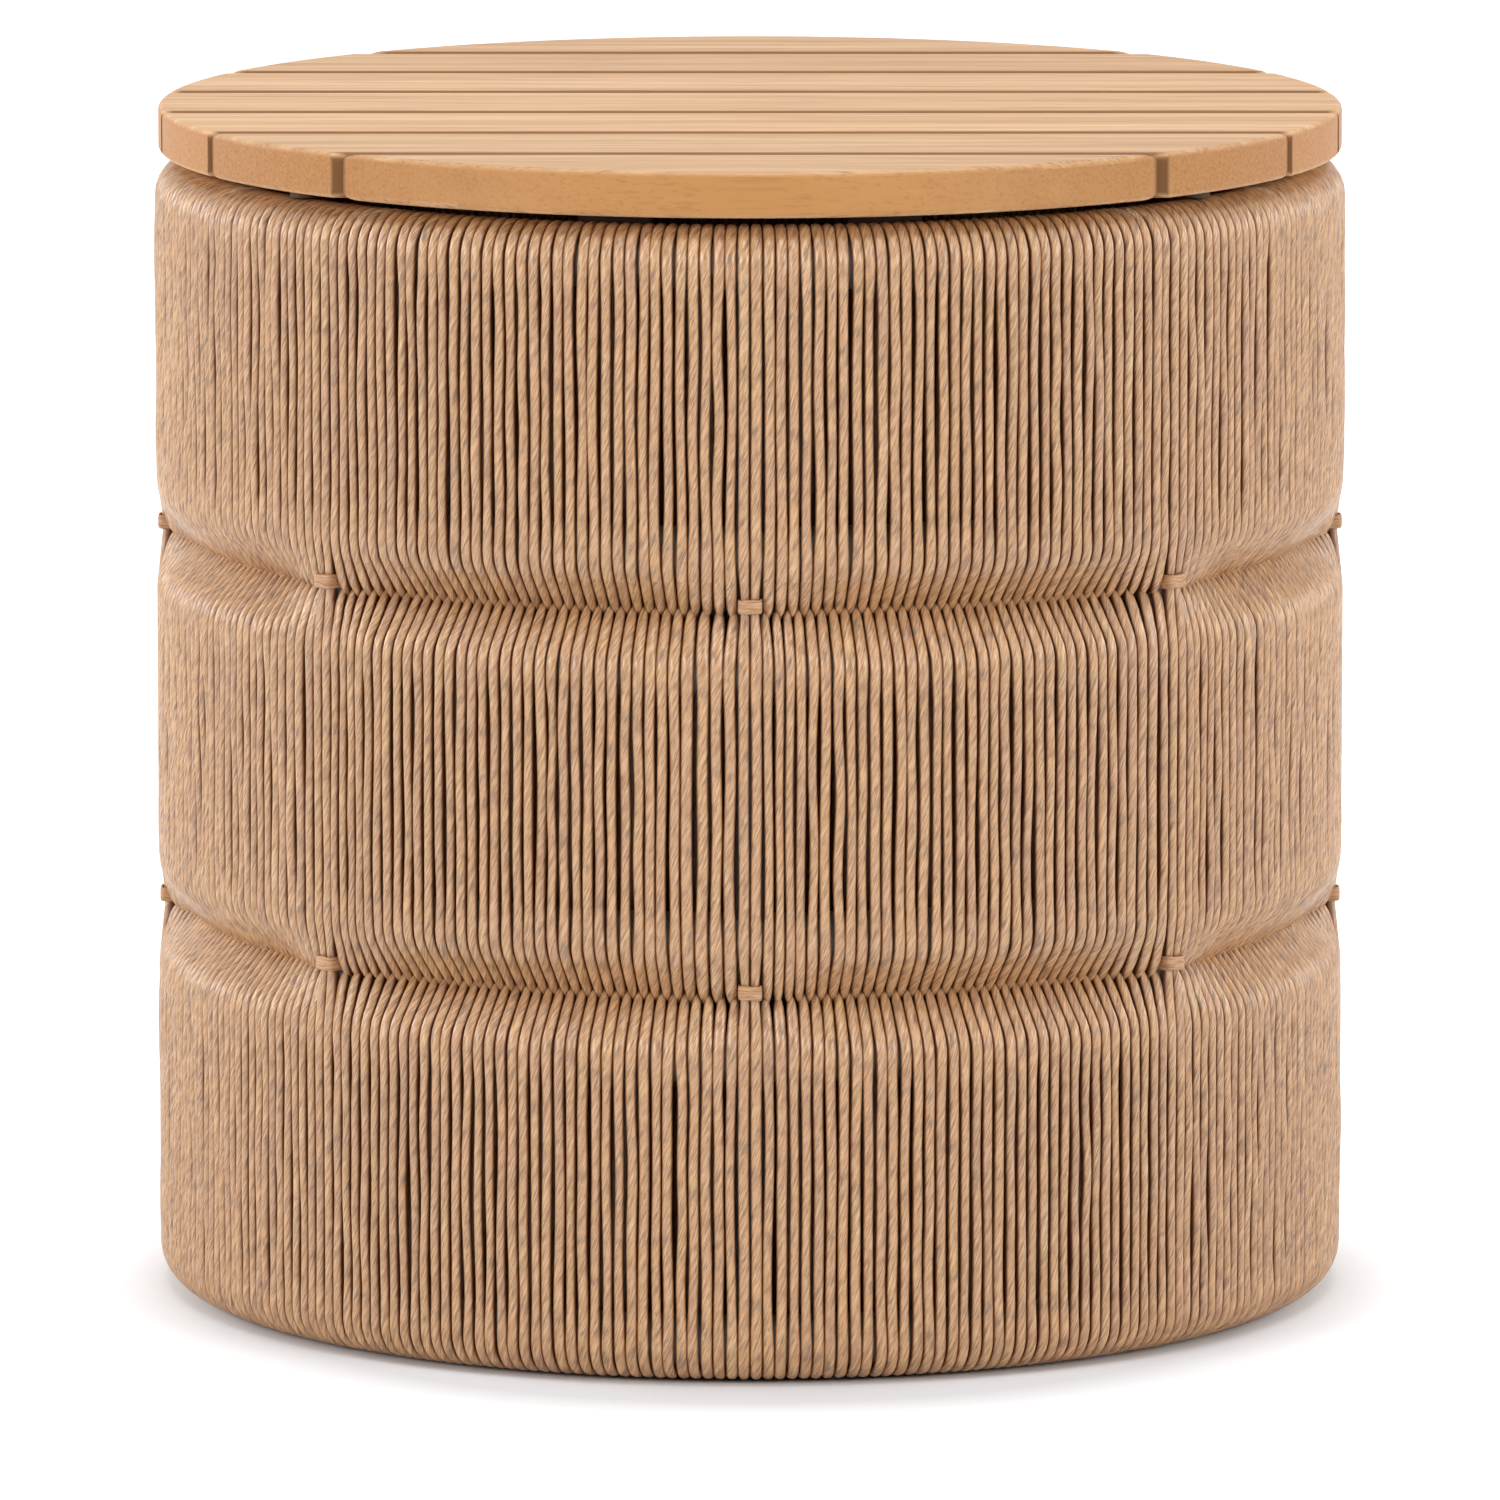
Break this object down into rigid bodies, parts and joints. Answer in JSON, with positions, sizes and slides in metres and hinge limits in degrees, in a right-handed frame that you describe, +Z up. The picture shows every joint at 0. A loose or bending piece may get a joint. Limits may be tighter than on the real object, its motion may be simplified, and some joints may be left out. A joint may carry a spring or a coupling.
{
  "type": "storage side table",
  "caption": "Round drum side table wound in vertical cord over a welded tube frame, with stacked tiers, tied waists, a storage well and a lift-off slatted wooden lid.",
  "frame": {"origin": "centre of the drum on the ground plane, under its feet", "axes": "+Z up along the drum's axis, +X along the lid's slats, one post and its ties face -Y"},
  "size_m": [0.5, 0.5, 0.5],
  "materials": {
    "lid_wood": "oiled hardwood, satin",
    "wound_cord": "twisted paper-look polyethylene cord",
    "tie_cord": "flat cord band",
    "frame_tube": "light grey powder coat",
    "screw_steel": "stainless",
    "bumper_rubber": "soft, matt",
    "floor_board": "solid polyethylene board",
    "foot_plastic": "nylon"
  },
  "bodies": {
    "base": {"top_hoop": "frame_tube", "upper_tier_lower_hoop": "frame_tube", "middle_tier_upper_hoop": "frame_tube", "middle_tier_lower_hoop": "frame_tube", "lower_tier_upper_hoop": "frame_tube", "bottom_hoop": "frame_tube", "upper_waist_ring": "frame_tube", "lower_waist_ring": "frame_tube", "upper_posts": "frame_tube", "upper_waist_struts": "frame_tube", "middle_posts": "frame_tube", "lower_waist_struts": "frame_tube", "lower_posts": "frame_tube", "front_floor_bar": "frame_tube", "rear_floor_bar": "frame_tube", "foot_plates": "frame_tube", "upper_wrap": "wound_cord", "middle_wrap": "wound_cord", "middle_wrap_lining": "wound_cord", "lower_wrap": "wound_cord", "upper_waist_ties": "tie_cord", "lower_waist_ties": "tie_cord", "floor_panel_screws": "screw_steel", "floor_panel": "floor_board", "levelling_feet": "foot_plastic"},
    "lid": {"lid_slat_1": "lid_wood", "lid_slat_2": "lid_wood", "lid_slat_3": "lid_wood", "lid_slat_4": "lid_wood", "lid_slat_5": "lid_wood", "lid_slat_6": "lid_wood", "lid_slat_7": "lid_wood", "lid_batten_left": "lid_wood", "lid_batten_right": "lid_wood", "batten_screws": "screw_steel", "lid_bumpers": "bumper_rubber"}
  },
  "joints": [
    {"name": "lid_lift", "type": "slide", "parent": "base", "child": "lid", "axis": [0, 0, 1], "range_m": [0, 0.3]}
  ]
}
